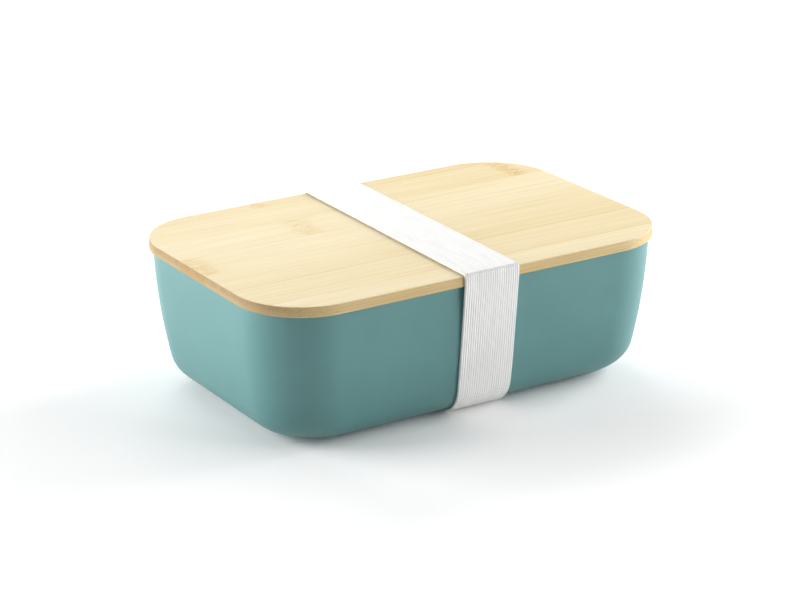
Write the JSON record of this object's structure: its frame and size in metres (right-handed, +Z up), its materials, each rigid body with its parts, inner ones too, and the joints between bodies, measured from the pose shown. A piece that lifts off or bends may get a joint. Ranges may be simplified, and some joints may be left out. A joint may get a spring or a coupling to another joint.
{
  "type": "lunch box",
  "caption": "Rectangular lunch box with rounded corners, a flat bamboo lid with a sealed plug, a sliding partition inside and an elastic band round its middle.",
  "frame": {"origin": "centre of the footprint, on the surface the box stands on, which touches the band's underside", "axes": "+X along the box's length, +Y towards its back, +Z up"},
  "size_m": [0.185, 0.1244, 0.0618],
  "materials": {
    "tub_plastic": "matt moulded teal, fine texture",
    "bamboo": "sanded and lightly oiled flat-pressed bamboo",
    "silicone": "translucent white silicone",
    "divider_plastic": "matt moulded teal, as the tub",
    "webbing": "white ribbed woven elastic",
    "thread": "white polyester thread"
  },
  "bodies": {
    "tub": {"tub": "tub_plastic"},
    "lid": {"lid_top_strip_1": "bamboo", "lid_top_strip_2": "bamboo", "lid_top_strip_3": "bamboo", "lid_top_strip_4": "bamboo", "lid_top_strip_5": "bamboo", "lid_top_strip_6": "bamboo", "lid_top_strip_7": "bamboo", "lid_plug_strip_1": "bamboo", "lid_plug_strip_2": "bamboo", "lid_plug_strip_3": "bamboo", "lid_plug_strip_4": "bamboo", "lid_plug_strip_5": "bamboo", "lid_plug_strip_6": "bamboo", "lid_seal": "silicone"},
    "band": {"elastic_band": "webbing", "band_stitches": "thread"},
    "divider": {"divider": "divider_plastic"}
  },
  "joints": [
    {"name": "lid_lift", "type": "slide", "parent": "tub", "child": "lid", "axis": [0, 0, 1], "range_m": [0, 0.09], "deforming": ["elastic_band", "band_stitches"]},
    {"name": "band_slide", "type": "slide", "parent": "tub", "child": "band", "axis": [1, 0, 0], "range_m": [-0.12, 0.12]},
    {"name": "divider_slide", "type": "slide", "parent": "tub", "child": "divider", "axis": [1, 0, 0], "range_m": [-0.072, 0.024]}
  ]
}
